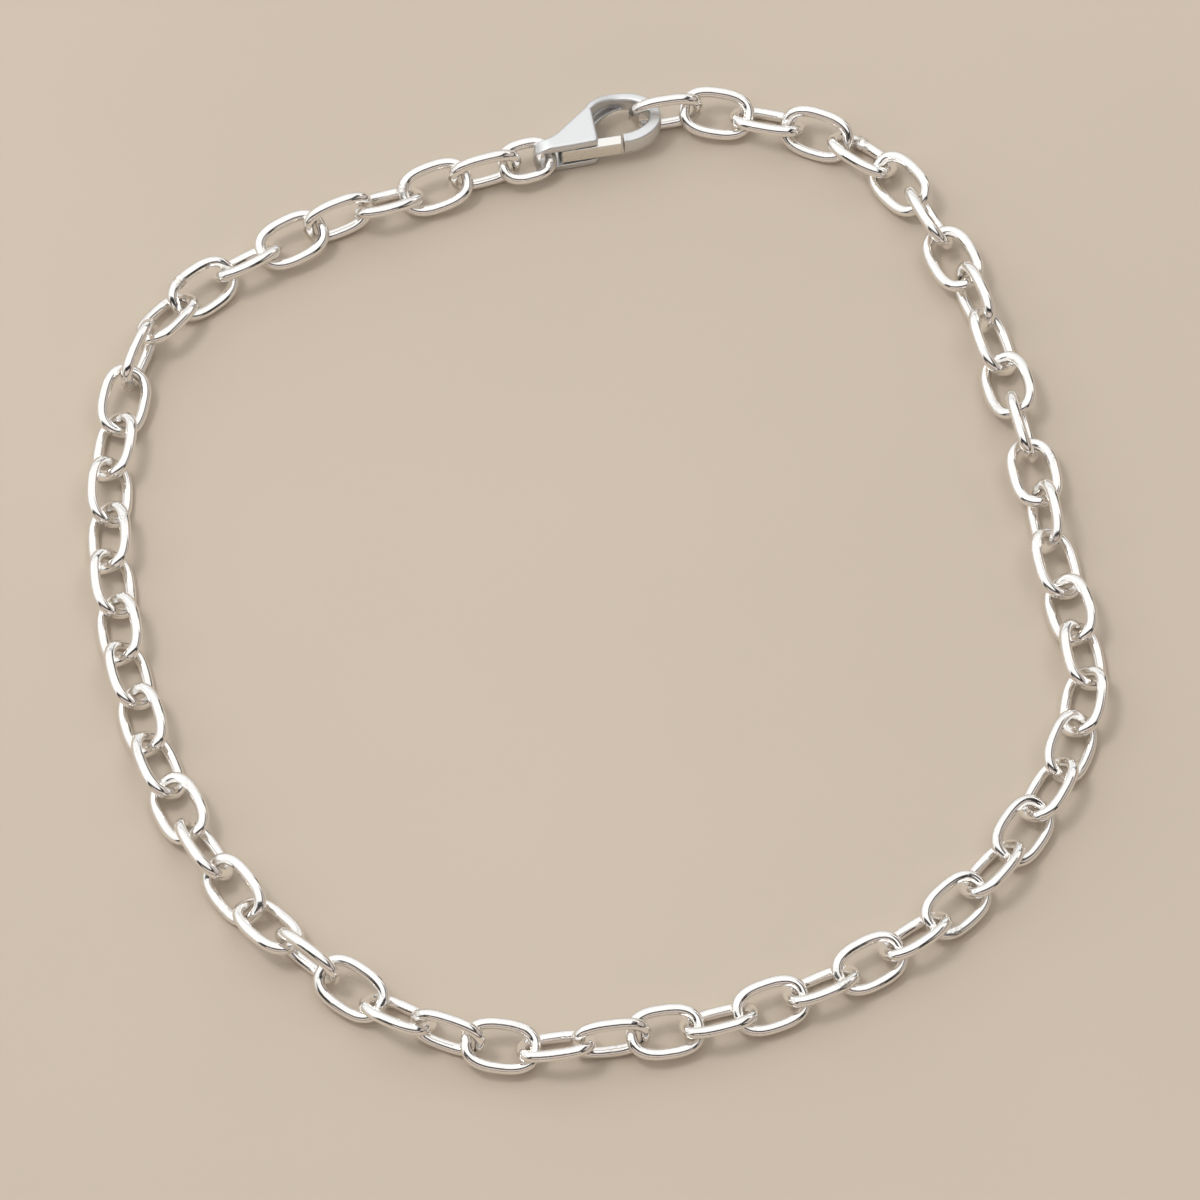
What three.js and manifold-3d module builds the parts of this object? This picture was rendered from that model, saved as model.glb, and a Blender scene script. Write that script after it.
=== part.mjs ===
// Silver cable-chain bracelet with a lobster-claw clasp, lying closed on a flat surface.
// Millimetres, +Z up. The clasp is at the back (+Y), and the chain runs from its tail
// anticlockwise, seen from above, round to its hook.
import * as THREE from "three";
import { mergeVertices } from "three/addons/utils/BufferGeometryUtils.js";
import Module from "manifold-3d";

const wasm = await Module();
wasm.setup();

// Chain
const WIRE = 0.68;
const PLAY = 0.14;
const LINK = { length: 4.6, width: 3.15 };
const END_RING = { length: 3.65, width: 2.75 };
const OVAL_POWER = 2.6;
const OVAL_STEPS = 18;
const WIRE_SIDES = 6;
const SECTION_FIT = 1.045;

// Where the chain lies, one row every three links, as a smooth closed curve scaled to the
// chain's own length
const TENSION = 0.5;
const ROUTE_STEPS = 4000;
const ROUTE = [
  { x: -3.2, y: 29.2 },
  { x: -11.7, y: 26.3 },
  { x: -20.2, y: 22.2 },
  { x: -26.6, y: 16.9 },
  { x: -29.0, y: 7.9 },
  { x: -28.5, y: -2.7 },
  { x: -25.6, y: -13.5 },
  { x: -21.1, y: -21.6 },
  { x: -14.9, y: -27.6 },
  { x: -6.9, y: -31.7 },
  { x: 2.2, y: -31.3 },
  { x: 11.4, y: -28.7 },
  { x: 19.6, y: -23.9 },
  { x: 25.4, y: -17.1 },
  { x: 29.0, y: -8.3 },
  { x: 27.3, y: 0.8 },
  { x: 25.7, y: 9.5 },
  { x: 22.8, y: 19.4 },
  { x: 17.5, y: 28.7 },
  { x: 8.9, y: 32.3 },
  { x: 2.8, y: 32.0 },
];

// Lean of each link about the chain in degrees, plus where its inner side is up; a row's tilts
// repeat over its links, and neighbours differ by 60 degrees or more, so that they interlock
const LEAN = [
  { part: "clasp to corner", links: 11, tilts: [-25, -90, -27, 38, -78, -15, 48, -36, 31, 94, -24] },
  { part: "left side", links: 8, tilts: [38, -38] },
  { part: "lower left", links: 6, tilts: [25, -50, 40, -22, -87, 28] },
  { part: "front", links: 6, tilts: [-40, 80, 20] },
  { part: "front right", links: 8, tilts: [-42, 25] },
  { part: "right corner", links: 6, tilts: [-38, 35, -35, 38, -35, 28] },
  { part: "right side", links: 8, tilts: [-64, 3, 72, -22, 42, -74, -8, 62] },
  { part: "top right", links: 6, tilts: [-34, 35, -45, 36, -26, -90] },
];

// Low links hang this share of the height step below their higher neighbours
const SAG = 0.18;

// Links joined into solid runs at the front of the loop, first and last link of each
const RUNS = [
  { from: 21, to: 25 },
  { from: 26, to: 31 },
  { from: 32, to: 35 },
  { from: 36, to: 39 },
];
const BRIDGE_RADIUS = 0.25;

// Clasp, in its own plan: x from the tail to the hook, y from the lever side to the back
const BODY = { thickness: 2.6, right: 3.98, edge: 0.14, wall: 0.42, bow: 0.05, corner: 0.24 };
const BACK = { bend: { x: 1.2, y: 0.75 }, rise: { x: 2, y: 1.42 }, shoulder: 3.6, inset: 0.03 };
const TAIL = { radius: 0.375, wall: 0.46, holeEnd: 1.6, play: 0.2 };
const NOSE = { length: 1.25, power: 2.3 };
const SLOT = { low: 0.58, high: 2.08, over: 1 };
const HOOK = { x: 5.7, y: 1.8, halfLength: 2.4, halfWidth: 1.8, rootDegrees: 150, tipX: 5.53 };
const EYE = { x: 5.6, y: 1.85, halfLength: 1.75, halfWidth: 1.15 };
const TAPER = { from: 3.7, to: 5.9, scale: 0.48, lift: 0.15 };
const PIN = { x: 2.7, y: 0.68, radius: 0.28, play: 0.05, low: 0.25, high: 2.35 };
const LEVER = {
  rear: 1.75,
  rise: 0.45,
  front: 0.03,
  arm: 0.65,
  reach: 2.74,
  low: 0.75,
  high: 1.9,
  edge: 0.08,
};
const BOSS = { radius: 0.5, endDegrees: 153 };
const ARC_STEPS = 14;
const BEVEL_STEPS = 2;

// Where the end ring and the last link pull on the clasp
const TAIL_JOINT = new THREE.Vector2(TAIL.wall + TAIL.play, TAIL.radius);
const HOOK_JOINT = new THREE.Vector2(6.87, 2.0);
const HOOK_HEIGHT = 1.45;

const silver = new THREE.MeshStandardMaterial({ color: 0xdcdad6, metalness: 1, roughness: 0.18 });
const castSilver = new THREE.MeshStandardMaterial({ color: 0xcfcecc, metalness: 1, roughness: 0.36 });

// Corner radius of the wire's regular section, between the inscribed and the equal-area one
const sectionRadius = (WIRE / 2) * SECTION_FIT;
const MERGE_DISTANCE = 1e-5;

// Centre line of an oval link, between an ellipse and a rounded rectangle
class Oval extends THREE.Curve {
  constructor(size) {
    super();
    this.halfLength = (size.length - WIRE) / 2;
    this.halfWidth = (size.width - WIRE) / 2;
  }

  getPoint(t, target = new THREE.Vector3()) {
    const bulge = (value) => Math.sign(value) * Math.abs(value) ** (2 / OVAL_POWER);
    const angle = 2 * Math.PI * t;
    return target.set(this.halfLength * bulge(Math.cos(angle)), this.halfWidth * bulge(Math.sin(angle)), 0);
  }
}

function linkGeometry(size) {
  return new THREE.TubeGeometry(new Oval(size), OVAL_STEPS, sectionRadius, WIRE_SIDES, true);
}

function solidOf(geometry, matrix = new THREE.Matrix4()) {
  const bare = geometry.clone().applyMatrix4(matrix);
  bare.deleteAttribute("normal");
  bare.deleteAttribute("uv");
  const merged = mergeVertices(bare, MERGE_DISTANCE);
  return new wasm.Manifold(
    new wasm.Mesh({
      numProp: 3,
      vertProperties: new Float32Array(merged.attributes.position.array),
      triVerts: new Uint32Array(merged.index.array),
    }),
  );
}

function geometryOf(solid) {
  const { vertProperties, triVerts } = solid.getMesh();
  const geometry = new THREE.BufferGeometry();
  geometry.setAttribute("position", new THREE.BufferAttribute(vertProperties, 3));
  geometry.setIndex(new THREE.BufferAttribute(triVerts, 1));
  geometry.computeVertexNormals();
  return geometry;
}

// Height of a lying link's middle above the surface, from its lean and its pitch in radians
function restHeight(size, lean, pitch = 0) {
  const power = OVAL_POWER / (OVAL_POWER - 1);
  const across = (((size.width - WIRE) / 2) * Math.abs(Math.cos(pitch) * Math.sin(lean))) ** power;
  const along = (((size.length - WIRE) / 2) * Math.abs(Math.sin(pitch))) ** power;
  return (across + along) ** (1 / power) + sectionRadius;
}

// Lays every link between its two joints along the route, and gives the clasp's two joints
function layChain() {
  const leans = LEAN.flatMap(({ links, tilts }) =>
    Array.from({ length: links }, (_, i) => THREE.MathUtils.degToRad(tilts[i % tilts.length])),
  );
  const sizes = leans.map((_, i) => (i === 0 ? END_RING : LINK));
  const pitches = sizes.map((size) => size.length - 2 * WIRE - PLAY);
  const chainLength = pitches.reduce((sum, pitch) => sum + pitch, 0);
  const total = chainLength + TAIL_JOINT.distanceTo(HOOK_JOINT);

  const rows = ROUTE.map(({ x, y }) => new THREE.Vector3(x, y, 0));
  const route = new THREE.CatmullRomCurve3(rows, true, "catmullrom", TENSION);
  route.arcLengthDivisions = ROUTE_STEPS;
  const scale = total / route.getLength();

  const heights = sizes.map((size, i) => restHeight(size, leans[i]));
  const joints = [];
  let run = 0;
  for (let i = 0; i <= sizes.length; i += 1) {
    const joint = route.getPointAt(run / total).multiplyScalar(scale);
    const before = heights[i - 1];
    const after = heights[i];
    joint.z = Math.max(before ?? 0, after ?? 0) - SAG * Math.abs((before ?? after) - (after ?? before));
    joints.push(joint);
    run += pitches[i] ?? 0;
  }
  joints[0].z = (SLOT.low + SLOT.high) / 2;
  joints[sizes.length].z = HOOK_HEIGHT;

  const links = sizes.map((size, i) => {
    const [start, end] = [joints[i], joints[i + 1]];
    const along = new THREE.Vector3().subVectors(end, start);
    const heading = Math.atan2(along.y, along.x);
    const pitch = Math.atan2(along.z, Math.hypot(along.x, along.y));
    const middle = new THREE.Vector3().addVectors(start, end).multiplyScalar(0.5);
    middle.z = Math.max(middle.z, restHeight(size, leans[i], pitch));
    return { number: i + 1, size, middle, turn: new THREE.Euler(leans[i], -pitch, heading, "ZYX") };
  });
  return { links, tail: joints[0], hook: joints[sizes.length] };
}

function linkMatrix({ middle, turn }) {
  return new THREE.Matrix4().makeRotationFromEuler(turn).setPosition(middle);
}

function singleLink(link) {
  const mesh = new THREE.Mesh(linkGeometry(link.size), silver);
  mesh.name = link.size === END_RING ? "end_ring" : `link_${String(link.number).padStart(2, "0")}`;
  mesh.position.copy(link.middle);
  mesh.rotation.copy(link.turn);
  return mesh;
}

// A run of links as one solid: a short bar at each contact joins the two wires
function linkRun(links, { from, to }) {
  const members = links.filter(({ number }) => number >= from && number <= to);
  let solid = null;
  members.forEach((link, i) => {
    const body = solidOf(linkGeometry(link.size), linkMatrix(link));
    solid = solid ? solid.add(body) : body;
    if (i > 0) solid = solid.add(bridge(members[i - 1], link));
  });
  const mesh = new THREE.Mesh(geometryOf(solid), silver);
  mesh.name = `links_${from}_${to}`;
  return mesh;
}

function bridge(before, after) {
  const end = (link, side) =>
    new THREE.Vector3(side * ((link.size.length - WIRE) / 2), 0, 0).applyMatrix4(linkMatrix(link));
  const [a, b] = [end(after, -1), end(before, 1)];
  const along = new THREE.Vector3().subVectors(b, a);
  const bar = new THREE.CylinderGeometry(BRIDGE_RADIUS, BRIDGE_RADIUS, along.length(), WIRE_SIDES);
  const turn = new THREE.Quaternion().setFromUnitVectors(new THREE.Vector3(0, 1, 0), along.normalize());
  const middle = a.add(b).multiplyScalar(0.5);
  return solidOf(bar, new THREE.Matrix4().compose(middle, turn, new THREE.Vector3(1, 1, 1)));
}

// A flat shape raised from low to high with softened edges
function plate(shape, low, high, edge = 0) {
  const geometry = new THREE.ExtrudeGeometry(shape, {
    depth: high - low - 2 * edge,
    bevelEnabled: edge > 0,
    bevelThickness: edge,
    bevelSize: edge,
    bevelOffset: -edge,
    bevelSegments: BEVEL_STEPS,
    curveSegments: ARC_STEPS,
  });
  return geometry.translate(0, 0, low + edge);
}

// The body's back edge where it meets the hook, a little inside the hook's own outline
function shoulderY(x) {
  return HOOK.y + HOOK.halfWidth * Math.sqrt(1 - ((x - HOOK.x) / HOOK.halfLength) ** 2) - BACK.inset;
}

function bodyShape() {
  const shape = new THREE.Shape();
  const corner = new THREE.Vector2(BODY.right - BODY.corner, BODY.bow + BODY.corner);
  shape.moveTo(BODY.right, corner.y);
  shape.absarc(corner.x, corner.y, BODY.corner, 0, -Math.PI / 2, true);
  shape.quadraticCurveTo(BACK.rise.x, -BODY.bow, TAIL.radius, 0);
  shape.absarc(TAIL.radius, TAIL.radius, TAIL.radius, -Math.PI / 2, Math.PI / 2, true);
  shape.quadraticCurveTo(BACK.bend.x, BACK.bend.y, BACK.rise.x, BACK.rise.y);
  shape.lineTo(BACK.shoulder, shoulderY(BACK.shoulder));
  shape.lineTo(BODY.right, shoulderY(BODY.right));
  shape.closePath();
  return shape;
}

function hookShape() {
  const shape = new THREE.Shape();
  const root = THREE.MathUtils.degToRad(HOOK.rootDegrees);
  shape.absellipse(HOOK.x, HOOK.y, HOOK.halfLength, HOOK.halfWidth, root, -Math.PI / 2, true);
  shape.lineTo(HOOK.tipX, 0);
  shape.lineTo(HOOK.tipX, EYE.y - EYE.halfWidth);
  shape.absellipse(EYE.x, EYE.y, EYE.halfLength, EYE.halfWidth, -Math.PI / 2, root, false);
  shape.closePath();
  return shape;
}

// The hook grows thinner and a little higher away from the body
function taperHook(geometry) {
  const middle = BODY.thickness / 2;
  const points = geometry.attributes.position;
  for (let i = 0; i < points.count; i += 1) {
    const share = THREE.MathUtils.smoothstep(points.getX(i), TAPER.from, TAPER.to);
    const scale = THREE.MathUtils.lerp(1, TAPER.scale, share);
    points.setZ(i, middle + TAPER.lift * share + (points.getZ(i) - middle) * scale);
  }
  return geometry;
}

// What is taken off the tail's end, seen from the side, to round it down as a strap
function noseCut() {
  const middle = BODY.thickness / 2;
  const shape = new THREE.Shape();
  shape.moveTo(NOSE.length, BODY.thickness + SLOT.over);
  for (let step = 0; step <= ARC_STEPS; step += 1) {
    const angle = Math.PI * (0.5 + step / ARC_STEPS);
    const [along, up] = [Math.cos(angle), Math.sin(angle)];
    const size = (Math.abs(along) ** NOSE.power + Math.abs(up) ** NOSE.power) ** (-1 / NOSE.power);
    shape.lineTo(NOSE.length * (1 + along * size), middle * (1 + up * size));
  }
  shape.lineTo(NOSE.length, -SLOT.over);
  shape.lineTo(-SLOT.over, -SLOT.over);
  shape.lineTo(-SLOT.over, BODY.thickness + SLOT.over);
  shape.closePath();
  const cut = new THREE.ExtrudeGeometry(shape, { depth: BACK.rise.y + 2 * SLOT.over, bevelEnabled: false });
  return cut.rotateX(Math.PI / 2).translate(0, BACK.rise.y + SLOT.over, 0);
}

// Space between the two cheeks: open through the tail, and backed by a wall beside the lever
function slotShape() {
  const slope = (shoulderY(BACK.shoulder) - BACK.rise.y) / (BACK.shoulder - BACK.rise.x);
  const wallY = (x) => BACK.rise.y + slope * (x - BACK.rise.x) - BODY.wall * Math.hypot(1, slope);
  const shape = new THREE.Shape();
  shape.moveTo(TAIL.wall, -SLOT.over);
  shape.lineTo(BODY.right + SLOT.over, -SLOT.over);
  shape.lineTo(BODY.right + SLOT.over, wallY(BODY.right));
  shape.lineTo(BODY.right, wallY(BODY.right));
  shape.lineTo(TAIL.holeEnd, wallY(TAIL.holeEnd));
  shape.lineTo(TAIL.holeEnd, BACK.rise.y + SLOT.over);
  shape.lineTo(TAIL.wall, BACK.rise.y + SLOT.over);
  shape.closePath();
  return shape;
}

function pinShape(radius) {
  return new THREE.Shape().absarc(PIN.x, PIN.y, radius, 0, 2 * Math.PI, false);
}

function claspBody() {
  const cheeks = solidOf(plate(bodyShape(), 0, BODY.thickness, BODY.edge))
    .subtract(solidOf(noseCut()))
    .subtract(solidOf(plate(slotShape(), SLOT.low, SLOT.high)))
    .subtract(solidOf(plate(pinShape(PIN.radius + PIN.play), PIN.low - PIN.play, PIN.high + PIN.play)));
  const hook = solidOf(taperHook(plate(hookShape(), 0, BODY.thickness, BODY.edge)));
  const mesh = new THREE.Mesh(geometryOf(cheeks.add(hook)), castSilver);
  mesh.name = "clasp_body";
  return mesh;
}

// The lever's tip is an arc about the pin, so that it swings past the hook's tip
function claspLever() {
  const shape = new THREE.Shape();
  shape.moveTo(LEVER.rear, LEVER.front);
  for (const share of [0, 0.5, 1]) {
    const tipY = LEVER.front + share * LEVER.arm;
    shape.lineTo(PIN.x + Math.sqrt(LEVER.reach ** 2 - (tipY - PIN.y) ** 2), tipY);
  }
  shape.absarc(PIN.x, PIN.y, BOSS.radius, 0, THREE.MathUtils.degToRad(BOSS.endDegrees), false);
  shape.lineTo(LEVER.rear, LEVER.front + LEVER.rise);
  shape.closePath();
  const hole = solidOf(plate(pinShape(PIN.radius + PIN.play), 0, BODY.thickness));
  const bar = solidOf(plate(shape, LEVER.low, LEVER.high, LEVER.edge)).subtract(hole);
  const mesh = new THREE.Mesh(geometryOf(bar), silver);
  mesh.name = "clasp_lever";
  return mesh;
}

function claspPin() {
  const mesh = new THREE.Mesh(plate(pinShape(PIN.radius), PIN.low, PIN.high), silver);
  mesh.name = "clasp_pin";
  return mesh;
}

function clasp(tail, hook) {
  const group = new THREE.Group();
  group.add(claspBody(), claspLever(), claspPin());
  const own = HOOK_JOINT.clone().sub(TAIL_JOINT).angle();
  const angle = Math.atan2(hook.y - tail.y, hook.x - tail.x) - own;
  const offset = TAIL_JOINT.clone().rotateAround(new THREE.Vector2(), angle);
  group.position.set(tail.x - offset.x, tail.y - offset.y, 0);
  group.rotation.z = angle;
  return group;
}

function bracelet() {
  const { links, tail, hook } = layChain();
  const group = new THREE.Group();
  const joined = ({ number }) => RUNS.some(({ from, to }) => number >= from && number <= to);
  links.filter((link) => !joined(link)).forEach((link) => group.add(singleLink(link)));
  RUNS.forEach((run) => group.add(linkRun(links, run)));
  group.add(clasp(tail, hook));

  const box = new THREE.Box3().setFromObject(group, true);
  const middle = box.getCenter(new THREE.Vector3());
  group.position.set(-middle.x, -middle.y, -box.min.z);
  return group;
}

export default bracelet();
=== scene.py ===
"""Looks of a silver cable-chain bracelet with a lobster-claw clasp.

The chain lies closed on a flat surface. It runs anticlockwise, seen from above, from the clasp's
tail round to its hook. Sizes are in millimetres, and a mesh is turned to metres as it is placed.
"""

from __future__ import annotations

import logging
import math
import random
from collections.abc import Iterable, Mapping, Sequence
from dataclasses import dataclass, field
from enum import Enum

import bmesh
import bpy
import numpy as np
from mathutils import Euler, Matrix, Vector


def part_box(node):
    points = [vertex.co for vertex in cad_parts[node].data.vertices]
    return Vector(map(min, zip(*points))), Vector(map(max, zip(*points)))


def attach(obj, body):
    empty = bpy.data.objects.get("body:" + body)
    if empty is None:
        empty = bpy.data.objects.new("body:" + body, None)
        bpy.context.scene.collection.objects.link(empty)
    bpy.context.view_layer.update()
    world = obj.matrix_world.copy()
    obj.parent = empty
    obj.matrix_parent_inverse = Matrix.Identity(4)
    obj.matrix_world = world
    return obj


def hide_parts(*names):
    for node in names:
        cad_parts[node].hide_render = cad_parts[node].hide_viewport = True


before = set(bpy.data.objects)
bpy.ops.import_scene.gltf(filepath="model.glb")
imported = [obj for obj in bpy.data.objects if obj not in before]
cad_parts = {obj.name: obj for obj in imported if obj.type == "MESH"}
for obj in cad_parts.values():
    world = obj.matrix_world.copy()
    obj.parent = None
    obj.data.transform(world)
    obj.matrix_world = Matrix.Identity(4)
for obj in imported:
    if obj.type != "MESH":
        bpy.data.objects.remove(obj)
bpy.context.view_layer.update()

log = logging.getLogger("bracelet")

MM = 0.001
RGB = tuple[float, float, float]

# Two values of a mask: what it steers starts at the first and is whole at the second
Level = tuple[float, float]


class Slot(Enum):
    """Material slots of the record."""

    POLISHED = "polished_silver"
    SATIN = "satin_silver"


class Body(Enum):
    """Bodies of the frame."""

    CHAIN = "chain"
    LEVER = "lever"


class Cut(Enum):
    """Ways to put two solids together."""

    JOIN = "UNION"
    TAKE_AWAY = "DIFFERENCE"


# Node trees


class Value:
    """A node's output that takes part in arithmetic."""

    def __init__(self, tree: Tree, socket: bpy.types.NodeSocket | None) -> None:
        """Keeps the socket and the tree that it is in."""
        self.tree = tree
        self.socket = socket

    def __add__(self, other: Term) -> Value:
        """Sum."""
        return self.tree.math("ADD", self, other)

    __radd__ = __add__

    def __sub__(self, other: Term) -> Value:
        """Difference."""
        return self.tree.math("SUBTRACT", self, other)

    def __rsub__(self, other: Term) -> Value:
        """Difference from a number."""
        return self.tree.math("SUBTRACT", other, self)

    def __mul__(self, other: Term) -> Value:
        """Product."""
        return self.tree.math("MULTIPLY", self, other)

    __rmul__ = __mul__

    def __truediv__(self, other: Term) -> Value:
        """Quotient."""
        return self.tree.math("DIVIDE", self, other)

    def __rtruediv__(self, other: Term) -> Value:
        """Quotient of a number."""
        return self.tree.math("DIVIDE", other, self)

    def __pow__(self, other: Term) -> Value:
        """Power."""
        return self.tree.math("POWER", self, other)

    def __neg__(self) -> Value:
        """Opposite."""
        return self.tree.math("MULTIPLY", self, -1.0)

    def __abs__(self) -> Value:
        """Size without sign."""
        return self.tree.math("ABSOLUTE", self)

    def sign(self) -> Value:
        """Minus one, nought or one."""
        return self.tree.math("SIGN", self)

    def rounded(self) -> Value:
        """Nearest whole number."""
        return self.tree.math("ROUND", self)

    def exp(self) -> Value:
        """Natural exponential."""
        return self.tree.math("EXPONENT", self)

    def ramp(self, low: float, high: float) -> Value:
        """Smooth step from 0 at low to 1 at high."""
        return self.tree.node(
            "ShaderNodeMapRange",
            {"interpolation_type": "SMOOTHSTEP"},
            {"Value": self, "From Min": low, "From Max": high},
        )

    def times(self, factor: Term) -> Value:
        """This vector scaled by a number."""
        inputs = {0: self, "Scale": factor}
        return self.tree.node("ShaderNodeVectorMath", {"operation": "SCALE"}, inputs)

    def parts(self) -> tuple[Value, Value, Value]:
        """The x, y and z of this vector."""
        split = self.tree.node("ShaderNodeSeparateXYZ", {}, {0: self})
        sockets = split.socket.node.outputs
        return Value(self.tree, sockets[0]), Value(self.tree, sockets[1]), Value(self.tree, sockets[2])


Term = Value | float

# Sockets of a Mix node that mixes colours
COLOUR_A, COLOUR_B, COLOUR_OUT = 6, 7, 2


@dataclass
class Tree:
    """A shader or geometry node tree, whose nodes all come from one method."""

    data: bpy.types.NodeTree

    def node(
        self,
        kind: str,
        settings: Mapping[str, str] | None = None,
        inputs: Mapping[str | int, object] | None = None,
        output: str | int = 0,
    ) -> Value:
        """Adds a node.

        Args:
            kind: The node's type.
            settings: Its properties, which are set first.
            inputs: Values or links of its sockets, by name or number.
            output: The output that is returned.

        Returns:
            The chosen output, or an empty value for a node without outputs.
        """
        node = self.data.nodes.new(kind)
        for name, setting in (settings or {}).items():
            setattr(node, name, setting)
        for key, given in (inputs or {}).items():
            if isinstance(given, Value):
                self.data.links.new(given.socket, node.inputs[key])
            else:
                node.inputs[key].default_value = given
        return Value(self, node.outputs[output] if len(node.outputs) else None)

    def math(self, operation: str, *terms: Term) -> Value:
        """A Math node over one or two numbers."""
        return self.node("ShaderNodeMath", {"operation": operation}, dict(enumerate(terms)))

    def vector(self, x: Term, y: Term, z: Term) -> Value:
        """A vector from three numbers."""
        return self.node("ShaderNodeCombineXYZ", {}, {0: x, 1: y, 2: z})

    def mix(self, share: Term, first: object, second: object) -> Value:
        """A colour between two colours."""
        inputs = {0: share, COLOUR_A: first, COLOUR_B: second}
        return self.node("ShaderNodeMix", {"data_type": "RGBA"}, inputs, COLOUR_OUT)

    def noise(self, where: Value, grain: float, detail: float, seed: Term) -> Value:
        """Cloudy noise from 0 to 1.

        Args:
            where: The coordinates, in metres.
            grain: The size of its lumps, in millimetres.
            detail: How many finer layers it has.
            seed: Which of many alike patterns it is.

        Returns:
            The noise.
        """
        inputs = {"Vector": where, "W": seed, "Scale": 1.0 / (grain * MM), "Detail": detail}
        return self.node("ShaderNodeTexNoise", {"noise_dimensions": "4D"}, inputs)

    def attribute(self, name: str) -> Value:
        """A named attribute of the surface, in a shader."""
        return self.node("ShaderNodeAttribute", {"attribute_name": name}, {}, "Fac")


# Finishes


def shader(name: str) -> tuple[bpy.types.Material, Tree]:
    """Starts a material.

    Args:
        name: The material's name.

    Returns:
        The material, and its node tree, which is empty.
    """
    material = bpy.data.materials.new(name)
    material.use_nodes = True
    material.node_tree.nodes.clear()
    return material, Tree(material.node_tree)


def opaque(colour: RGB) -> tuple[float, float, float, float]:
    """A colour with full opacity."""
    return (*colour, 1.0)


@dataclass(frozen=True)
class Silver:
    """Sterling silver: how bright, how polished and how worn.

    Sizes are in millimetres and headings in radians. Clouds are wide patches that are a little
    duller and darker. Scratches are fine lines in two directions. Dents are shallow waves that make
    a highlight's edge wander, and pits are fine specks. Tarnish gathers in the pits and at solder
    seams. Where links rub, on the inner side of each link's ends, the same brown in the pits is
    painted shade between the links as well as dirt. Rims that stand out can be glossier than the rest.
    """

    name: str
    colour: RGB = (0.94, 0.925, 0.9)
    # Brown for real tarnish at the seams, and for painted shade between links
    tarnish_and_shade: RGB = (0.5, 0.43, 0.35)
    roughness: float = 0.05
    cloud: float = 0.04
    cloud_grain: float = 2.2
    cloud_level: Level = (0.3, 0.75)
    shade: float = 0.94
    shade_share: float = 0.35
    shade_level: Level = (0.35, 0.8)
    scratch_grain: float = 0.035
    scratch_stretch: float = 14.0
    scratch_tilt: tuple[float, float] = (0.6, 0.35)
    scratch_headings: tuple[float, float] = (0.5, 2.1)
    scratch_level: Level = (0.6, 0.72)
    scratch_roughness: float = 0.12
    scratch_height: float = 0.0009
    dent_grain: float = 0.5
    dent_height: float = 0.004
    pit_grain: float = 0.12
    pit_height: float = 0.0012
    # How much brown is painted into the pits on the links' inner ends: painted shade between links as
    # well as dirt
    contact_dirt_and_shade: float = 0.35
    contact_level: Level = (0.35, 0.65)
    seam_tarnish: float = 0.75
    seam_level: Level = (0.4, 0.6)
    tarnish_roughness: float = 0.22
    seam_roughness: float = 0.25
    rim_gloss: float = 0.0

    def scratches(self, tree: Tree, where: Value, heading: float, seed: float) -> Value:
        """Fine lines along one heading.

        Args:
            tree: The material's node tree.
            where: The coordinates, in metres.
            heading: The turn about z, after the scratches' tilt.
            seed: Which of many alike patterns it is.

        Returns:
            A mask that is 1 on a line and 0 between lines.
        """
        turn = (*self.scratch_tilt, heading)
        inputs = {"Vector": where, "Rotation": turn, "Scale": (1.0 / self.scratch_stretch, 1.0, 1.0)}
        turned = tree.node("ShaderNodeMapping", {}, inputs)
        return tree.noise(turned, self.scratch_grain, 1.0, seed).ramp(*self.scratch_level)

    def build(self) -> bpy.types.Material:
        """Builds the material.

        Returns:
            The material, which reads a mesh's seam and rim attributes, and the mask of painted shade
            between links, where it has them.
        """
        material, tree = shader(self.name)
        where = tree.node("ShaderNodeTexCoord", {}, {}, "Object")
        first, second = self.scratch_headings
        lines = self.scratches(tree, where, first, 3.0) + self.scratches(tree, where, second, 8.0)
        cloud = tree.noise(where, self.cloud_grain, detail=3.0, seed=5.0)
        specks = tree.noise(where, self.pit_grain, detail=2.0, seed=11.0)
        dents = tree.noise(where, self.dent_grain, detail=1.0, seed=17.0)
        seam, contact_shade, rim = tree.attribute("seam"), tree.attribute("contact_shade"), tree.attribute("rim")

        # Painted shade and dirt: brown in the pits on each link's inner ends, where the next link sits
        dirt_and_shade_at_contacts = contact_shade * self.contact_dirt_and_shade * specks.ramp(*self.contact_level)
        dirt_and_shade = dirt_and_shade_at_contacts + seam * self.seam_tarnish * specks.ramp(*self.seam_level)
        shaded = opaque(tuple(self.shade * c for c in self.colour))
        colour = tree.mix(cloud.ramp(*self.shade_level) * self.shade_share, opaque(self.colour), shaded)
        # The brown painted in here is tarnish at the seams, and painted shade with dirt where links meet
        colour = tree.mix(dirt_and_shade, colour, opaque(self.tarnish_and_shade))
        roughness = self.roughness + self.cloud * cloud.ramp(*self.cloud_level)
        roughness = roughness + self.scratch_roughness * lines
        roughness = roughness + self.tarnish_roughness * dirt_and_shade + self.seam_roughness * seam
        roughness = roughness * (1.0 - self.rim_gloss * rim)
        height = dents * self.dent_height + specks * self.pit_height - lines * self.scratch_height
        bump = tree.node("ShaderNodeBump", {}, {"Strength": 1.0, "Distance": MM, "Height": height})
        surface = tree.node(
            "ShaderNodeBsdfPrincipled",
            {},
            {"Base Color": colour, "Metallic": 1.0, "Roughness": roughness, "Normal": bump},
        )
        tree.node("ShaderNodeOutputMaterial", {}, {"Surface": surface})
        return material


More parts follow.
